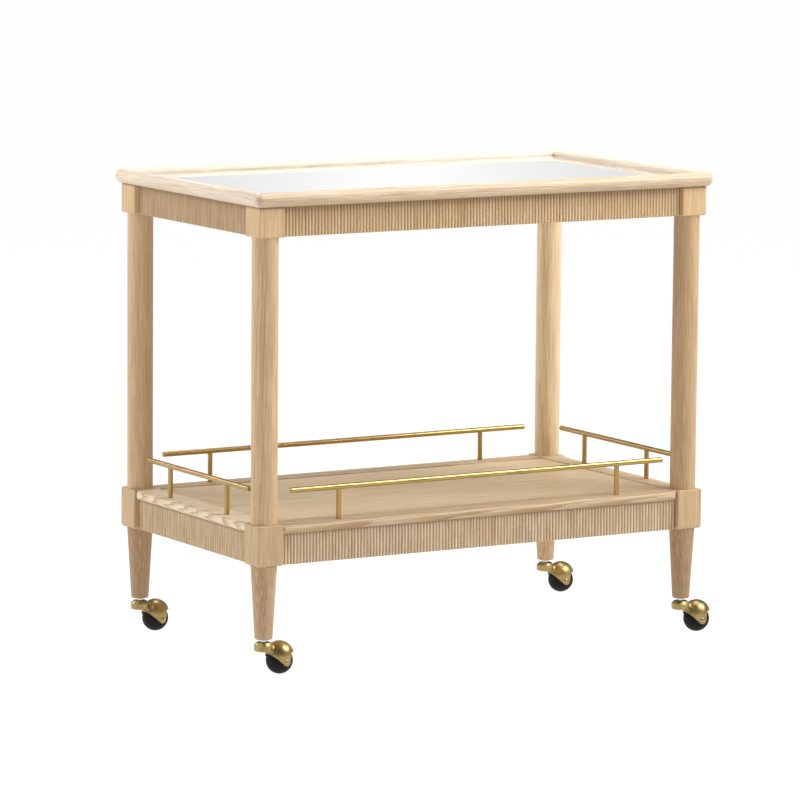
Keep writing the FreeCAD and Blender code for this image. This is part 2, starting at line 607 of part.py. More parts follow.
def caster_hood(name, corner, hand_x, hand_y):
    """Brass hood: round head on the stem, domed shell over the ball, two rounded cheeks.

    The head has a sloping shoulder, and a hollow rounding carries it into the dome.
    """
    lift = BALL_RADIUS
    skirt = "(%s - 2 * dims.lobe_radius)" % lift
    shell = turned(name + "_shell", "XZ_Plane", "V_Axis", [
        (HOOD_INSIDE, skirt),
        (HOOD_OUTSIDE, skirt),
        (HOOD_OUTSIDE, HOOD_CENTRE, HOOD_OUTSIDE),
        ("0", "dims.hood_height"),
        ("0", "dims.hood_height - dims.hood_wall", "-" + HOOD_INSIDE),
        (HOOD_INSIDE, HOOD_CENTRE),
    ])
    place(shell, "dims.trail")
    # The lower edge runs from the round head down to a cheek, round the axle and up to the rear.
    # Where it leaves and meets the cheek's arc follows from the tangents to that arc.
    front = "(dims.trail - dims.hood_front_run)"
    fall = "(%s - %s)" % (COLLAR_BASE, lift)
    front_span = "sqrt(%s ^ 2 + %s ^ 2)" % (front, fall)
    front_angle = "(atan2(%s; -%s) + acos(dims.lobe_radius / %s))" % (fall, front, front_span)
    rear_span = "sqrt(dims.hood_rear_run ^ 2 + dims.hood_rear_rise ^ 2)"
    rear_angle = "(atan2(dims.hood_rear_rise; dims.hood_rear_run) - acos(dims.lobe_radius / %s))" % rear_span
    on_lobe = "dims.trail + dims.lobe_radius * cos(%s)"
    lobe_level = lift + " + dims.lobe_radius * sin(%s)"
    rear = "(%s + dims.hood_rear_rise)" % lift
    beyond = "(dims.trail + 2 * %s)" % HOOD_OUTSIDE
    trim = padded(name + "_trim", "XZ_Plane", "4 * " + HOOD_OUTSIDE, [
        ("dims.hood_front_run", COLLAR_BASE),
        ("-" + beyond, COLLAR_BASE),
        ("-" + beyond, "-" + lift),
        (beyond, "-" + lift),
        (beyond, rear),
        ("dims.trail + dims.hood_rear_run", rear),
        (on_lobe % rear_angle, lobe_level % rear_angle, "-dims.lobe_radius"),
        (on_lobe % "270", lobe_level % "270", "-dims.lobe_radius"),
        (on_lobe % front_angle, lobe_level % front_angle),
    ])
    hole = "dims.stem_diameter / 2 + dims.axle_play"
    seat = "dims.washer_diameter / 2 + dims.washer_play"
    floor = "%s - dims.washer_thickness" % COLLAR_TOP
    rim = "dims.collar_diameter / 2"
    collar = turned(name + "_collar", "XZ_Plane", "V_Axis", [
        (hole, COLLAR_BASE),
        (rim + " - dims.collar_edge_round", COLLAR_BASE, "dims.collar_edge_round"),
        (rim, COLLAR_BASE + " + dims.collar_edge_round"),
        (rim, COLLAR_TOP + " - dims.collar_slope_drop"),
        (rim + " - dims.collar_slope_run", COLLAR_TOP),
        (seat, COLLAR_TOP),
        (seat, floor),
        (hole, floor),
    ])
    whole = doc.addObject("Part::Fuse", name + "_whole")
    whole.Base = collar
    whole.Tool = cut(name + "_dome", shell, trim)
    doc.recompute()
    dome_middle = Vector(size("dims.trail"), 0, size(HOOD_CENTRE))
    neck = doc.addObject("Part::Fillet", name + "_neck")
    neck.Base = whole
    neck.Edges = [
        (index, size("dims.neck_round"), size("dims.neck_round"))
        for index, edge in enumerate(whole.Shape.Edges, 1)
        if on_both(edge, size(rim), dome_middle, size(HOOD_OUTSIDE))
    ]
    bore = cylinder(name + "_axle_hole", "dims.axle_diameter / 2 + dims.joint_gap", "4 * " + HOOD_OUTSIDE,
                    "dims.trail", "-2 * " + HOOD_OUTSIDE, lift, ALONG_Y)
    return node(caster_placed(cut(name, neck, bore), corner, hand_x, hand_y), name)


def caster_axle(name, corner, hand_x, hand_y):
    """Steel axle with a domed rivet head outside each cheek."""
    head = "(dims.rivet_diameter / 2)"
    dome = "((%s ^ 2 + dims.rivet_height ^ 2) / (2 * dims.rivet_height))" % head
    shank = "dims.axle_diameter / 2"
    end = "(%s + dims.rivet_height)" % HOOD_OUTSIDE
    body = turned(name, "XY_Plane", "V_Axis", [
        ("0", "-" + end, dome),
        (head, "-" + HOOD_OUTSIDE),
        (shank, "-" + HOOD_OUTSIDE),
        (shank, HOOD_OUTSIDE),
        (head, HOOD_OUTSIDE, dome),
        ("0", end),
    ])
    return node(caster_placed(body, corner, hand_x, hand_y, "dims.trail", BALL_RADIUS), name)


def caster_wheel(name, corner, hand_x, hand_y):
    """Ball with flat hub faces, a fine groove round the tread and a hole for the axle."""
    bore = "dims.axle_diameter / 2 + dims.axle_play"
    flat = "dims.ball_width / 2"
    hub = "sqrt(%s ^ 2 - (%s) ^ 2)" % (BALL_RADIUS, flat)
    edge = "dims.ball_seam / 2"
    tread = "sqrt(%s ^ 2 - (%s) ^ 2)" % (BALL_RADIUS, edge)
    body = turned(name, "XY_Plane", "V_Axis", [
        (bore, "-" + flat),
        (hub, "-" + flat, BALL_RADIUS),
        (tread, "-" + edge),
        ("%s - dims.ball_seam" % BALL_RADIUS, "0"),
        (tread, edge, BALL_RADIUS),
        (hub, flat),
        (bore, flat),
    ])
    return node(caster_placed(body, corner, hand_x, hand_y, "dims.trail", BALL_RADIUS), name)


def corner_group(name, corners_of_outline):
    """The same turned piece at each of the four corners, as one node."""
    pieces = []
    for corner, hand_x, hand_y in CORNERS:
        body = turned("%s_%s" % (name, corner), "XZ_Plane", "V_Axis", corners_of_outline)
        pieces.append(place(body, "%d * %s" % (hand_x, POST_X), "%d * %s" % (hand_y, POST_Y)))
    return group(name, pieces)


def caster_fittings():
    """Stems that the hoods swivel on, their washers, and the threaded inserts in the feet."""
    radius = "dims.stem_diameter / 2"
    flange = "dims.stem_flange_diameter / 2"
    under = "(%s - dims.washer_play)" % COLLAR_BASE
    washer_base = "(%s - dims.washer_thickness + dims.washer_play)" % COLLAR_TOP
    washer_top = "(%s + dims.washer_thickness)" % washer_base
    tip = "(dims.caster_height + dims.insert_length)"
    corner_group("caster_stems", [
        ("0", "%s - dims.stem_head_thickness" % under),
        (flange, "%s - dims.stem_head_thickness" % under),
        (flange, under),
        (radius, under),
        (radius, washer_top),
        (flange, washer_top),
        (flange, "dims.caster_height"),
        (radius, "dims.caster_height"),
        (radius, tip),
        ("0", tip),
    ])
    corner_group("stem_washers", [
        (radius + " + dims.joint_gap", washer_base),
        ("dims.washer_diameter / 2", washer_base),
        ("dims.washer_diameter / 2", washer_top),
        (radius + " + dims.joint_gap", washer_top),
    ])
    corner_group("stem_inserts", [
        (radius + " + dims.joint_gap", "dims.caster_height"),
        ("dims.insert_diameter / 2", "dims.caster_height"),
        ("dims.insert_diameter / 2", tip),
        (radius + " + dims.joint_gap", tip),
    ])


for side, turn, run, reach, inner, bar in SIDES:
    tray_rail("tray_rail_" + side, turn, run, reach)
    reeded_apron("top_apron_" + side, turn, reach, inner, TOP_BLOCK_BASE, "dims.top_block_height")
    shelf_rail("shelf_rail_" + side, turn, reach, inner, bar)
    lower_height = "(%s - %s)" % (SHELF_BASE, LOWER_BLOCK_BASE)
    reeded_apron("lower_apron_" + side, turn, reach, inner, LOWER_BLOCK_BASE, lower_height)
    gallery_bar("gallery_bar_" + side, turn, reach, bar)
    gallery_posts("gallery_posts_" + side, turn, reach, bar)
for corner, hand_x, hand_y in CORNERS:
    corner_block("top_block_" + corner, hand_x, hand_y, TOP_BLOCK_BASE, "dims.top_block_height",
                 "dims.leg_stud_depth", "dims.top_block_height")
    post("post_" + corner, hand_x, hand_y)
    corner_block("lower_block_" + corner, hand_x, hand_y, LOWER_BLOCK_BASE, "dims.lower_block_height",
                 "dims.lower_block_height", "(%s - %s)" % (SHELF_BASE, LOWER_BLOCK_BASE),
                 "dims.block_under_round")
    foot("foot_" + corner, hand_x, hand_y)
    caster_hood("caster_hood_" + corner, corner, hand_x, hand_y)
    caster_axle("caster_axle_" + corner, corner, hand_x, hand_y)
    caster_wheel("caster_wheel_" + corner, corner, hand_x, hand_y)
tray_panels()
shelf_panel()
gallery_studs()
leg_studs()
caster_fittings()
doc.recompute()

for item in doc.Objects:
    if "Invalid" in item.State or "Error" in item.State:
        raise RuntimeError("%s could not be worked out: %s" % (item.Label, item.State))
for item in nodes:
    if item.Shape.isNull() or not item.Shape.isValid():
        raise RuntimeError("%s has no sound shape" % item.Label)

os.makedirs("parts", exist_ok=True)
for item in nodes:
    item.Shape.exportStep("parts/%s.step" % item.Label)
    print("%-28s solids %d  volume %.1f" % (item.Label, len(item.Shape.Solids), item.Shape.Volume))
print("pieces written:", len(nodes))
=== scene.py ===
import math

import bpy
from mathutils import Euler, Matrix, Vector


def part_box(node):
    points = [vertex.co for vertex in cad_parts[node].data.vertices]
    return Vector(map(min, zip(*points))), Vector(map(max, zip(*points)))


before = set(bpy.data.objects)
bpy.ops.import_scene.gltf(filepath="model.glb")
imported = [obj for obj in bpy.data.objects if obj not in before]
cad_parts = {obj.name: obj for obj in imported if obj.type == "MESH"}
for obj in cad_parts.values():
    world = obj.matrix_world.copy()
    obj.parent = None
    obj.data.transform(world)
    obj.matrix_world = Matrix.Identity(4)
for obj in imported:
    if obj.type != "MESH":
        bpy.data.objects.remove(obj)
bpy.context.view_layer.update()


# Tray rails.
# Four mitred lengths of solid ash with a rounded outer edge, which hold the mirror in a rebate. The wood
# is wire-brushed and limed: white paste stays in its open pores, and the faces are wiped back to pale tan.

def linear(code):
    """An sRGB hex colour as linear red, green and blue, with alpha."""
    channels = [int(code[i:i + 2], 16) / 255 for i in (1, 3, 5)]
    return [c / 12.92 if c <= 0.04045 else ((c + 0.055) / 1.055) ** 2.4 for c in channels] + [1.0]


def add(tree, kind, feeds=(), stops=(), **settings):
    """Add one node with its settings, feed its inputs with values or links, and set a ramp's stops."""
    made = tree.nodes.new(kind)
    for name, value in settings.items():
        setattr(made, name, value)
    for socket, value in dict(feeds).items():
        if isinstance(value, bpy.types.NodeSocket):
            tree.links.new(value, made.inputs[socket])
        else:
            made.inputs[socket].default_value = value
    for index, (at, colour) in enumerate(stops):
        row = made.color_ramp.elements
        stop = row[index] if index < 2 else row.new(at)
        stop.position, stop.color = at, colour
    return made


def surface(name):
    """A new material's node tree, its shader and the object coordinates, in metres."""
    material = bpy.data.materials.new(name)
    material.use_nodes = True
    tree = material.node_tree
    return material, tree, tree.nodes["Principled BSDF"], add(tree, "ShaderNodeTexCoord").outputs["Object"]


def dress(material, *names):
    """Put a material in every slot of the named CAD pieces."""
    for name in names:
        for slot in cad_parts[name].material_slots:
            slot.material = material


def repeats(size):
    """How often a pattern of the given size in mm repeats in a metre."""
    return 1000 / size


TURNED = {"X": (0, 0, 0), "Y": (0, 0, -math.pi / 2), "Z": (0, math.pi / 2, 0)}


def limed_ash(name, grain, early, late, limed, pith=(0, 0, 0), taper=0.01, ring=4.0, arched=0.0,
              wander=6.0, rough=(0.40, 0.56)):
    """Limed ash. The pith line runs along the grain through the given point. Growth rings of the given width
    in mm are cones round it: distance from the line, plus taper times the length along it, plus a slow wander
    in mm. A steep taper makes pointed arches. Rings end in a narrow band of darker late wood. Pores about
    0.3 mm wide are drawn 1 mm wide and 60 mm long so that they show. White paste lies in some of the pores,
    and as far as arched says, over the whole of the early wood."""
    material, tree, shader, place = surface(name)
    board = add(tree, "ShaderNodeVectorMath", {0: place, 1: pith}, operation="SUBTRACT").outputs[0]
    board = add(tree, "ShaderNodeMapping", {"Vector": board, "Rotation": TURNED[grain]}).outputs[0]
    broad = add(tree, "ShaderNodeMapping", {
        "Vector": board, "Scale": (repeats(165), repeats(9), repeats(9))}).outputs[0]
    cloud = add(tree, "ShaderNodeTexNoise", {"Vector": broad, "Scale": 1.0, "Detail": 3.0}).outputs["Fac"]
    fine = add(tree, "ShaderNodeMapping", {
        "Vector": board, "Scale": (repeats(60), repeats(1), repeats(1))}).outputs[0]
    pores = add(tree, "ShaderNodeTexNoise", {
        "Vector": fine, "Scale": 1.0, "Detail": 3.0, "Roughness": 0.6}).outputs["Fac"]

    along = add(tree, "ShaderNodeSeparateXYZ", {"Vector": board}).outputs["X"]
    radius = add(tree, "ShaderNodeVectorMath", {0: board, 1: (0, 1, 1)}, operation="MULTIPLY").outputs[0]
    radius = add(tree, "ShaderNodeVectorMath", {0: radius}, operation="LENGTH").outputs["Value"]
    radius = add(tree, "ShaderNodeMath", {0: along, 1: taper, 2: radius}, operation="MULTIPLY_ADD").outputs[0]
    radius = add(tree, "ShaderNodeMath", {
        0: cloud, 1: wander / 1000, 2: radius}, operation="MULTIPLY_ADD").outputs[0]
    years = add(tree, "ShaderNodeMath", {0: radius, 1: repeats(ring)}, operation="MULTIPLY").outputs[0]
    rings = add(tree, "ShaderNodeMath", {0: years}, operation="FRACT").outputs[0]

    wood = add(tree, "ShaderNodeValToRGB", {"Fac": rings}, [
        (0.0, linear(early)), (0.55, linear(early)), (0.9, linear(late)), (1.0, linear(early))]).outputs[0]
    # Inputs 6 and 7 of a Mix node are its two colours, output 2 its result.
    for noise, shade in ((cloud, "#F2EFEC"), (pores, "#DDD3CA")):
        tone = add(tree, "ShaderNodeValToRGB", {"Fac": noise}, [
            (0.32, linear(shade)), (0.58, linear("#FFFFFF"))]).outputs[0]
        wood = add(tree, "ShaderNodeMix", {0: 1.0, 6: wood, 7: tone},
                   data_type="RGBA", blend_type="MULTIPLY").outputs[2]
    open_ring = add(tree, "ShaderNodeMapRange", {"Value": rings, "From Min": 0.5, "From Max": 0.3}).outputs[0]
    filled = add(tree, "ShaderNodeMapRange", {
        "Value": pores, "From Min": 0.54, "From Max": 0.68, "To Min": arched, "To Max": limed}).outputs[0]
    white = add(tree, "ShaderNodeMath", {0: filled, 1: open_ring}, operation="MULTIPLY").outputs[0]
    wood = add(tree, "ShaderNodeMix", {0: white, 6: wood, 7: linear("#EDE4D4")}, data_type="RGBA").outputs[2]
    tree.links.new(wood, shader.inputs["Base Color"])

    gloss = add(tree, "ShaderNodeMapRange", {
        "Value": pores, "From Min": 0.3, "From Max": 0.7, "To Min": rough[0], "To Max": rough[1]}).outputs[0]
    tree.links.new(gloss, shader.inputs["Roughness"])
    relief = add(tree, "ShaderNodeBump", {"Height": pores, "Strength": 0.2, "Distance": 0.0004}).outputs[0]
    tree.links.new(relief, shader.inputs["Normal"])
    return material


# The rails' tones differ as painted light: the back rail is painted paler for the light on it, and the front
# rail tanner for the shade on its side.
dress(limed_ash("limed_ash_front_rail", "X", "#DCC5A7", "#CFB491", limed=0.4), "tray_rail_front")
dress(limed_ash("limed_ash_back_rail", "X", "#EEE0CB", "#E7D7BF", limed=0.6), "tray_rail_back")
dress(limed_ash("limed_ash_short_rail", "Y", "#ECDCC7", "#E4D2BA", limed=0.5, rough=(0.5, 0.65)),
      "tray_rail_left", "tray_rail_right")


# Mirror and its board.
# A 4 mm silvered glass sheet lies loose inside the rails on a thin fibreboard panel. Polished glass over
# silver gives a clear, slightly cool reflection; the board shows only from below, as felted brown fibre.

material, tree, shader, place = surface("silvered_glass_polished")
haze = add(tree, "ShaderNodeTexNoise", {"Vector": place, "Scale": repeats(110), "Detail": 3.0}).outputs["Fac"]
tint = add(tree, "ShaderNodeValToRGB", {"Fac": haze}, [
    (0.3, linear("#F1F2F2")), (0.7, linear("#F9FAFA"))]).outputs[0]
tree.links.new(tint, shader.inputs["Base Color"])
wiped = add(tree, "ShaderNodeMapRange", {"Value": haze, "To Min": 0.015, "To Max": 0.05}).outputs[0]
tree.links.new(wiped, shader.inputs["Roughness"])
shader.inputs["Metallic"].default_value = 1.0
dress(material, "mirror_panel")

material, tree, shader, place = surface("fibreboard_pressed")
# Fibres a few tenths of a millimetre thick, drawn as 3 mm flecks.
flecks = add(tree, "ShaderNodeTexNoise", {"Vector": place, "Scale": repeats(3), "Detail": 4.0}).outputs["Fac"]
felt = add(tree, "ShaderNodeValToRGB", {"Fac": flecks}, [
    (0.3, linear("#8C6E4C")), (0.7, linear("#B0926C"))]).outputs[0]
tree.links.new(felt, shader.inputs["Base Color"])
relief = add(tree, "ShaderNodeBump", {"Height": flecks, "Strength": 0.2, "Distance": 0.0004}).outputs[0]
tree.links.new(relief, shader.inputs["Normal"])
shader.inputs["Roughness"].default_value = 0.85
dress(material, "mirror_backing_board")


# Top aprons.
# Four ash boards under the tray, tenoned into the corner blocks, their outer faces cut into upright reeds.
# Painted shade darkens the roots of the reeds and the top stretch under the tray. A pale line along the
# rounded crests is partly paste and partly painted highlight.

def paint_eaves_shade(material, node, shade, eaves):
    """Paint shade that fades in upward over the topmost stretch of the named piece, eaves in mm, where the
    overhang above shadows it."""
    tree = material.node_tree
    shader = tree.nodes["Principled BSDF"]
    wood = shader.inputs["Base Color"].links[0].from_socket
    place = add(tree, "ShaderNodeTexCoord").outputs["Object"]
    rise = add(tree, "ShaderNodeSeparateXYZ", {"Vector": place}).outputs["Z"]
    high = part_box(node)[1]
    # Painted shade: the piece darkens towards its top, where the overhang above casts its shadow.
    painted_shade = add(tree, "ShaderNodeMapRange", {
        "Value": rise, "From Min": high.z - eaves / 1000, "From Max": high.z, "To Max": 0.6}).outputs[0]
    wood = add(tree, "ShaderNodeMix", {0: painted_shade, 6: wood, 7: linear(shade)}, data_type="RGBA").outputs[2]
    tree.links.new(wood, shader.inputs["Base Color"])
    return material


def reeded(material, node, across, shade, root_shade, crest_paste_and_highlight, eaves):
    """Finish the reeds of a material. The named piece's box gives the crests' distance from the middle of the
    cart, along X (0) or Y (1), and the roots lie 2.3 mm further in. Painted shade fades in from the flanks to
    the roots, and under the eaves. A pale line along the crests, partly paste and partly painted highlight,
    is broken into lengths of about 40 mm."""
    tree = material.node_tree
    shader = tree.nodes["Principled BSDF"]
    wood = shader.inputs["Base Color"].links[0].from_socket
    place = add(tree, "ShaderNodeTexCoord").outputs["Object"]
    parts = add(tree, "ShaderNodeSeparateXYZ", {"Vector": place}).outputs
    depth = add(tree, "ShaderNodeMath", {0: parts[across]}, operation="ABSOLUTE").outputs[0]
    low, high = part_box(node)
    crest = max(abs(low[across]), abs(high[across]))
    # Below the crest lie the edge of the pale line of paste and painted highlight, the start of the painted
    # shade and the root.
    shoulder = crest - 0.0006
    flank = crest - 0.0008
    root = crest - 0.0023
    # The pale crest line is partly paste and partly painted highlight.
    patch = add(tree, "ShaderNodeMapping", {
        "Vector": place, "Scale": (repeats(6.4), repeats(6.4), repeats(40))}).outputs[0]
    patch = add(tree, "ShaderNodeTexNoise", {"Vector": patch, "Scale": 1.0, "Detail": 2.0}).outputs["Fac"]
    patch = add(tree, "ShaderNodeMapRange", {
        "Value": patch, "From Min": 0.35, "From Max": 0.65, "To Max": crest_paste_and_highlight}).outputs[0]
    line = add(tree, "ShaderNodeMapRange", {
        "Value": depth, "From Min": shoulder, "From Max": crest}).outputs[0]
    paste_and_highlight = add(tree, "ShaderNodeMath", {0: patch, 1: line}, operation="MULTIPLY").outputs[0]
    wood = add(tree, "ShaderNodeMix", {0: paste_and_highlight, 6: wood, 7: linear("#EADFCD")}, data_type="RGBA").outputs[2]
    # Painted shade in the roots of the reeds.
    painted_shade = add(tree, "ShaderNodeMapRange", {
        "Value": depth, "From Min": flank, "From Max": root, "To Max": root_shade},
        interpolation_type="SMOOTHSTEP").outputs[0]
    wood = add(tree, "ShaderNodeMix", {0: painted_shade, 6: wood, 7: linear(shade)}, data_type="RGBA").outputs[2]
    tree.links.new(wood, shader.inputs["Base Color"])
    return paint_eaves_shade(material, node, shade, eaves)


# eaves is the depth in mm of the painted shadow that the tray casts on the aprons' tops.
dress(reeded(limed_ash("limed_ash_top_reeds_long", "Z", "#DCBC8E", "#D2B080", limed=0.2), "top_apron_front",
             across=1, shade="#6A4C30", root_shade=0.7, crest_paste_and_highlight=0.3, eaves=14),
      "top_apron_front", "top_apron_back")
dress(reeded(limed_ash("limed_ash_top_reeds_short", "Z", "#C3A57C", "#BA9A70", limed=0.2), "top_apron_left",
             across=0, shade="#6A4C30", root_shade=0.6, crest_paste_and_highlight=0.2, eaves=10),
      "top_apron_left", "top_apron_right")


# Top corner blocks.
# Square ash blocks under the tray corners, which take the aprons' tenons. Their grain runs upright and their
# edges are eased. They are wiped cleaner than the reeds, so little paste is left on them, and a narrow band
# of painted shade under the tray darkens their tops.
CORNERS = ("front_left", "front_right", "back_right", "back_left")
# A 5 mm band of painted shade under the tray.
dress(paint_eaves_shade(limed_ash("limed_ash_top_block", "Z", "#DCBD90", "#D4B285", limed=0.12, ring=2.5),
                "top_block_front_left", shade="#6A4C30", eaves=5),
      *("top_block_" + corner for corner in CORNERS))


# Posts.
# Four plain turned ash posts between the upper and lower blocks, drawn up on hidden threaded studs. Turning
# cuts across the rings, so long soft streaks run up them. The back right one is painted paler, as painted
# light, and the front right one browner, as painted shade.
dress(limed_ash("limed_ash_post", "Z", "#DABB90", "#CDAB80", limed=0.3, ring=2.5),
      "post_front_left", "post_back_left")
dress(limed_ash("limed_ash_post_painted_shade", "Z", "#CFAE83", "#BF9B70", limed=0.2, ring=2.5), "post_front_right")
dress(limed_ash("limed_ash_post_painted_light", "Z", "#EED6AC", "#DFC294", limed=0.2, ring=2.5), "post_back_right")


# Lower corner blocks.
# Square ash blocks, taller than the upper ones and rounder underneath, that carry the shelf and the feet. The
# posts' studs pass through them. They come from the same boards as the upper blocks, a shade greyer.
dress(limed_ash("limed_ash_lower_block", "Z", "#D2B48A", "#C9AA80", limed=0.15, ring=2.5),
      *("lower_block_" + corner for corner in CORNERS))


# Shelf rails and shelf panel.
# Bullnosed ash rails frame a solid ash panel whose tongues lie in their grooves. The left rail is flat-sawn
# from the heart of a board: pointed arches of pale early wood, packed with paste, run along its top.
# The pith of each board lies this far, in metres, in from the rail's nose and below the top.
low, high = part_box("shelf_rail_front")
pith_in = 0.017
pith_below = 0.003
dress(limed_ash("limed_ash_shelf_rail_long", "X", "#CDB188", "#B7966B", limed=0.5,
                pith=(0, low.y + pith_in, high.z - pith_below), taper=0.02, arched=0.15),
      "shelf_rail_front", "shelf_rail_back")
low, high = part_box("shelf_rail_left")
pith_in = 0.006
pith_below = 0.009
dress(limed_ash("limed_ash_shelf_rail_left", "Y", "#EED8B4", "#CBA87D", limed=0.6,
                pith=(low.x + pith_in, 0, high.z - pith_below), taper=0.1, ring=5.0, arched=0.45,
                wander=10.0),
      "shelf_rail_left")
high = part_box("shelf_rail_right")[1]
pith_in = 0.016
pith_below = 0.003
dress(limed_ash("limed_ash_shelf_rail_right", "Y", "#D8BF98", "#CBAE85", limed=0.5,
                pith=(high.x - pith_in, 0, high.z - pith_below)),
      "shelf_rail_right")
# The panel's pith lies under the board, a little forward of the middle.
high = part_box("shelf_panel")[1]
pith_forward = 0.02
pith_below = 0.063
dress(limed_ash("limed_ash_shelf_panel", "X", "#E2CAA2", "#D2B78C", limed=0.3,
                pith=(0, -pith_forward, high.z - pith_below), taper=0.02, ring=6.0, arched=0.1),
      "shelf_panel")


# Lower aprons.
# Reeded ash boards under the shelf rails, tenoned into the lower blocks. They are limed more heavily than the
# upper ones: their painted shade at the roots is lighter, their pale crest line of paste and painted
# highlight is stronger, and a thin band of painted shadow lies under the shelf rails' noses.
# A 5 mm band of painted shadow under the shelf rails' noses.
dress(reeded(limed_ash("limed_ash_low_reeds_long", "Z", "#D8BD98", "#CCAE86", limed=0.3), "lower_apron_front",
             across=1, shade="#8E7258", root_shade=0.45, crest_paste_and_highlight=0.5, eaves=5),
      "lower_apron_front", "lower_apron_back")
dress(reeded(limed_ash("limed_ash_low_reeds_short", "Z", "#CFB386", "#C5A778", limed=0.4), "lower_apron_left",
             across=0, shade="#8A6A4A", root_shade=0.5, crest_paste_and_highlight=0.6, eaves=5),
      "lower_apron_left", "lower_apron_right")


# Feet.
# Four turned ash feet that taper to the casters, screwed up into the lower blocks. They are the brownest
# pieces of wood, with fine upright grain, and two of them are painted browner than the others, as painted
# shade.
dress(limed_ash("limed_ash_foot", "Z", "#C8A981", "#B8976F", limed=0.35, ring=2.5),
      "foot_front_left", "foot_back_right")
dress(limed_ash("limed_ash_foot_painted_shade", "Z", "#B6966F", "#A78560", limed=0.3, ring=2.5),
      "foot_front_right", "foot_back_left")


# Gallery bars and posts.
# Drawn brass rod, satin brushed along its length and lacquered: a soft broad gleam with a paler line on top.
# Each bar is soldered to two posts, which stand on studs screwed into the shelf rails.

def brass(name, marks_size, light="#C6A660", dark="#9C7B3C", rough=(0.28, 0.40), depth=0.08):
    """Brass under clear lacquer, which turns its brightest gleam from yellow to cream. Its marks have the
    given sizes in mm along X, Y and Z, and vary the tone a little and the gloss more. Brush marks are about
    0.1 mm wide, and drawn 1.1 mm wide so that they show."""
    material, tree, shader, place = surface(name)
    marks = add(tree, "ShaderNodeMapping", {
        "Vector": place, "Scale": [repeats(size) for size in marks_size]}).outputs[0]
    marks = add(tree, "ShaderNodeTexNoise", {"Vector": marks, "Scale": 1.0, "Detail": 3.0}).outputs["Fac"]
    tone = add(tree, "ShaderNodeValToRGB", {"Fac": marks}, [
        (0.3, linear(dark)), (0.7, linear(light))]).outputs[0]
    tree.links.new(tone, shader.inputs["Base Color"])
    gloss = add(tree, "ShaderNodeMapRange", {
        "Value": marks, "From Min": 0.3, "From Max": 0.7, "To Min": rough[0], "To Max": rough[1]}).outputs[0]
    tree.links.new(gloss, shader.inputs["Roughness"])
    relief = add(tree, "ShaderNodeBump", {"Height": marks, "Strength": depth, "Distance": 0.0003}).outputs[0]
    tree.links.new(relief, shader.inputs["Normal"])
    shader.inputs["Metallic"].default_value = 1.0
    shader.inputs["Coat Weight"].default_value = 0.7
    shader.inputs["Coat Roughness"].default_value = rough[0]
    return material


dress(brass("brushed_brass_long_bar", (50, 1.1, 1.1)), "gallery_bar_front", "gallery_bar_back")
dress(brass("brushed_brass_short_bar", (1.1, 50, 1.1)), "gallery_bar_left", "gallery_bar_right")
dress(brass("brushed_brass_gallery_post", (1.1, 1.1, 25)),
      *("gallery_posts_" + side for side in ("front", "right", "back", "left")))


# Studs and inserts.
# Zinc-plated steel, all hidden in the wood: threaded studs through the legs and under the gallery posts, and
# the inserts that the caster stems screw into. Plating gives a cloudy blue-grey gleam.

def plated_steel(name, light, dark, rough):
    """Plated steel with crystal patches about 2 mm across in tone and gloss."""
    material, tree, shader, place = surface(name)
    patch = add(tree, "ShaderNodeTexNoise", {
        "Vector": place, "Scale": repeats(2), "Detail": 3.0}).outputs["Fac"]
    tone = add(tree, "ShaderNodeValToRGB", {"Fac": patch}, [
        (0.3, linear(dark)), (0.7, linear(light))]).outputs[0]
    tree.links.new(tone, shader.inputs["Base Color"])
    gloss = add(tree, "ShaderNodeMapRange", {
        "Value": patch, "To Min": rough[0], "To Max": rough[1]}).outputs[0]
    tree.links.new(gloss, shader.inputs["Roughness"])
    shader.inputs["Metallic"].default_value = 1.0
    return material


dress(plated_steel("zinc_plated_steel", "#C8CCD0", "#9CA2A8", (0.3, 0.5)),
      "leg_studs", "gallery_studs", "stem_inserts")


# Caster stems and washers.
# A bright nickel-plated stem screws up into each foot through a black nylon washer. The stem is nearly a
# mirror, and the washer is a dull black ring under the foot.
dress(plated_steel("nickel_plated_stem", "#E4E2DC", "#BDBAB2", (0.12, 0.25)), "caster_stems")


def black_plastic(name, light, dark, grit, rough, gleam=0.5):
    """Moulded black plastic with a fine matt grit, drawn at the given size in mm so that it shows. A gleam
    below 0.5 stands for a pitted skin that throws back less of the pale floor."""
    material, tree, shader, place = surface(name)
    speck = add(tree, "ShaderNodeTexNoise", {
        "Vector": place, "Scale": repeats(grit), "Detail": 3.0}).outputs["Fac"]
    tone = add(tree, "ShaderNodeValToRGB", {"Fac": speck}, [
        (0.3, linear(dark)), (0.7, linear(light))]).outputs[0]
    tree.links.new(tone, shader.inputs["Base Color"])
    gloss = add(tree, "ShaderNodeMapRange", {
        "Value": speck, "From Min": 0.3, "From Max": 0.7, "To Min": rough[0], "To Max": rough[1]}).outputs[0]
    tree.links.new(gloss, shader.inputs["Roughness"])
    relief = add(tree, "ShaderNodeBump", {"Height": speck, "Strength": 0.15, "Distance": 0.0003}).outputs[0]
    tree.links.new(relief, shader.inputs["Normal"])
    shader.inputs["Specular IOR Level"].default_value = gleam
    return material


dress(black_plastic("black_nylon_washer", "#232122", "#131213", 1.5, (0.4, 0.55)), "stem_washers")


# Casters.
# Each has a pressed brass hood on the stem, a turned axle with rivet heads, and a two-part black ball wheel.
# Pressed and lacquered brass is glossy and reflects the studio; the moulded ball is a dull near-black.
dress(brass("lacquered_brass_hood", (16, 16, 16), "#B99F64", "#9A814C", (0.36, 0.44), 0.02),
      *("caster_hood_" + corner for corner in CORNERS))
dress(brass("turned_brass_axle", (1.4, 1.4, 1.4), "#BCA268", "#9C8450", (0.26, 0.34), 0.02),
      *("caster_axle_" + corner for corner in CORNERS))
dress(black_plastic("black_moulded_ball", "#14110E", "#0A0807", 1.2, (0.5, 0.65), gleam=0.2),
      *("caster_wheel_" + corner for corner in CORNERS))


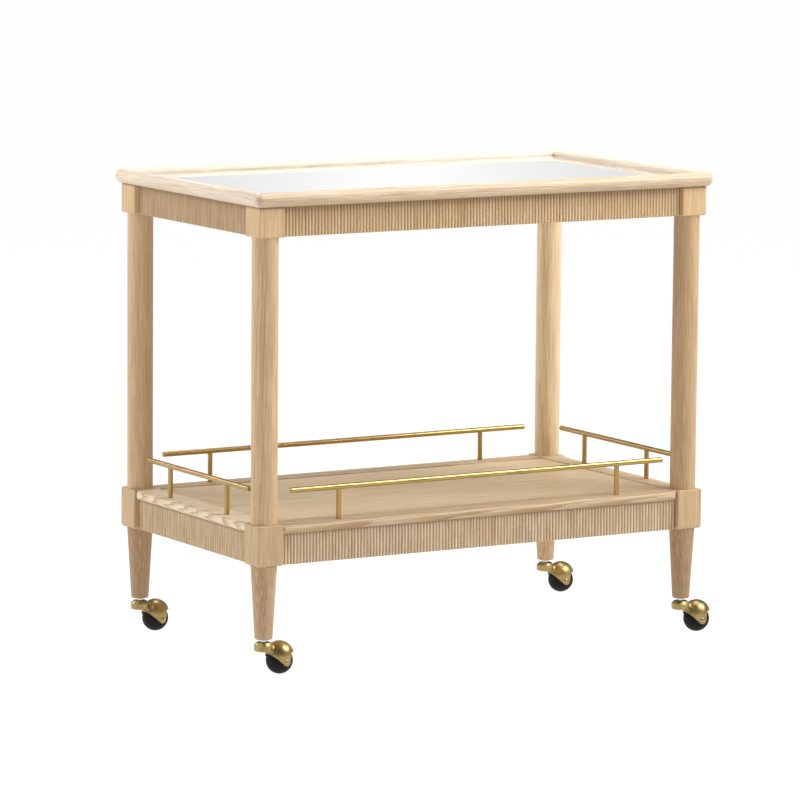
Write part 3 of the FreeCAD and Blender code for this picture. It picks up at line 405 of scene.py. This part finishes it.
# Floor, light and camera.
# A plain pale floor that runs past the picture's edges, a large soft lamp high on the right, weaker ones
# overhead and to the left, and a long lens from the front left, a little above the tray.
mesh = bpy.data.meshes.new("floor")
reach = 60
mesh.from_pydata([(-reach, -reach, 0), (reach, -reach, 0), (reach, reach, 0), (-reach, reach, 0)], [],
                 [(0, 1, 2, 3)])
floor = bpy.data.objects.new("floor", mesh)
bpy.context.scene.collection.objects.link(floor)
material, tree, shader, place = surface("opal_sheet_lit_from_below")
mottle = add(tree, "ShaderNodeTexNoise", {
    "Vector": place, "Scale": repeats(250), "Detail": 2.0}).outputs["Fac"]
paint = add(tree, "ShaderNodeValToRGB", {"Fac": mottle}, [
    (0.3, linear("#5A5A58")), (0.7, linear("#60605E"))]).outputs[0]
tree.links.new(paint, shader.inputs["Base Color"])
shader.inputs["Roughness"].default_value = 0.9
# Most of its light comes from below, so it is pale throughout and shadows on it stay faint.
shader.inputs["Emission Color"].default_value = (1, 1, 1, 1)
shader.inputs["Emission Strength"].default_value = 0.95
mesh.materials.append(material)

pitch = math.radians(7.923)
yaw = math.radians(30.656)
roll = math.radians(0.490)
world = bpy.data.worlds.new("studio")
bpy.context.scene.world = world
world.use_nodes = True
tree = world.node_tree
toward = add(tree, "ShaderNodeTexCoord").outputs["Generated"]
ahead = add(tree, "ShaderNodeVectorMath", {
    0: toward, 1: (math.sin(yaw), math.cos(yaw), 0)}, operation="DOT_PRODUCT").outputs["Value"]
ahead = add(tree, "ShaderNodeMapRange", {"Value": ahead, "From Min": -1.0}).outputs[0]
# The room is grey to all sides with a dark ceiling, so metal shows dark bands. A pale wall stands behind the
# cart. A lit stripe on it fades to both sides, and the mirror sends the camera's view there. The stripe's
# core and edge are sines of the angle to the side of the camera's heading.
stripe_core = 0.006
stripe_edge = 0.043
stripe_light = (1.02, 1.02, 1.02, 1)
walls = add(tree, "ShaderNodeValToRGB", {"Fac": ahead}, [
    (0.65, linear("#A0A0A0")), (0.85, linear("#B4B4B4")), (0.97, linear("#B4B4B4")),
    (0.985, linear("#EAEAEA"))]).outputs[0]
aside = add(tree, "ShaderNodeVectorMath", {
    0: toward, 1: (math.cos(yaw), -math.sin(yaw), 0)}, operation="DOT_PRODUCT").outputs["Value"]
aside = add(tree, "ShaderNodeMath", {0: aside}, operation="ABSOLUTE").outputs[0]
stripe = add(tree, "ShaderNodeMapRange", {
    "Value": aside, "From Min": stripe_edge, "From Max": stripe_core}).outputs[0]
facing = add(tree, "ShaderNodeMapRange", {"Value": ahead, "From Min": 0.97, "From Max": 0.985}).outputs[0]
lit = add(tree, "ShaderNodeMath", {0: stripe, 1: facing}, operation="MULTIPLY").outputs[0]
walls = add(tree, "ShaderNodeMix", {0: lit, 6: walls, 7: stripe_light}, data_type="RGBA").outputs[2]
rise = add(tree, "ShaderNodeSeparateXYZ", {"Vector": toward}).outputs["Z"]
above = add(tree, "ShaderNodeMapRange", {"Value": rise, "From Min": 0.3, "From Max": 0.5}).outputs[0]
sky = add(tree, "ShaderNodeMix", {0: above, 6: walls, 7: linear("#626262")}, data_type="RGBA").outputs[2]
glow = tree.nodes["Background"]
tree.links.new(sky, glow.inputs["Color"])

middle = Vector((0, 0, 0.5))
for name, spot, energy, size in (
        ("main_softbox_right", Vector((1.8, -1.6, 2.8)), 112, 1.8),
        ("overhead_softbox", Vector((0.4, 0.6, 3.2)), 54, 1.6),
        ("left_softbox_high", Vector((-2.4, -0.2, 3.0)), 20, 0.9),
        ("left_softbox_low", Vector((-3.0, 0.9, 1.2)), 13, 1.6),
        ("left_softbox_back", Vector((-2.2, 2.6, 2.0)), 38, 0.9)):
    lamp = bpy.data.lights.new(name, "AREA")
    lamp.energy = energy
    lamp.size = size
    holder = bpy.data.objects.new(name, lamp)
    holder.location = spot
    holder.rotation_euler = (middle - spot).to_track_quat("-Z", "Y").to_euler()
    bpy.context.scene.collection.objects.link(holder)

# The camera's place, angles and lens were fitted to the corners and edges of the cart.
lens = bpy.data.cameras.new("camera")
lens.sensor_width = 36.0
lens.lens = 222.56
camera = bpy.data.objects.new("camera", lens)
camera.location = (-4.5249, -7.5894, 1.6548)
turn = Euler((math.pi / 2 - pitch, 0, -yaw)).to_matrix()
camera.rotation_euler = (turn @ Euler((0, 0, roll)).to_matrix()).to_euler()
bpy.context.scene.collection.objects.link(camera)
bpy.context.scene.camera = camera
bpy.context.scene.view_settings.view_transform = "Standard"
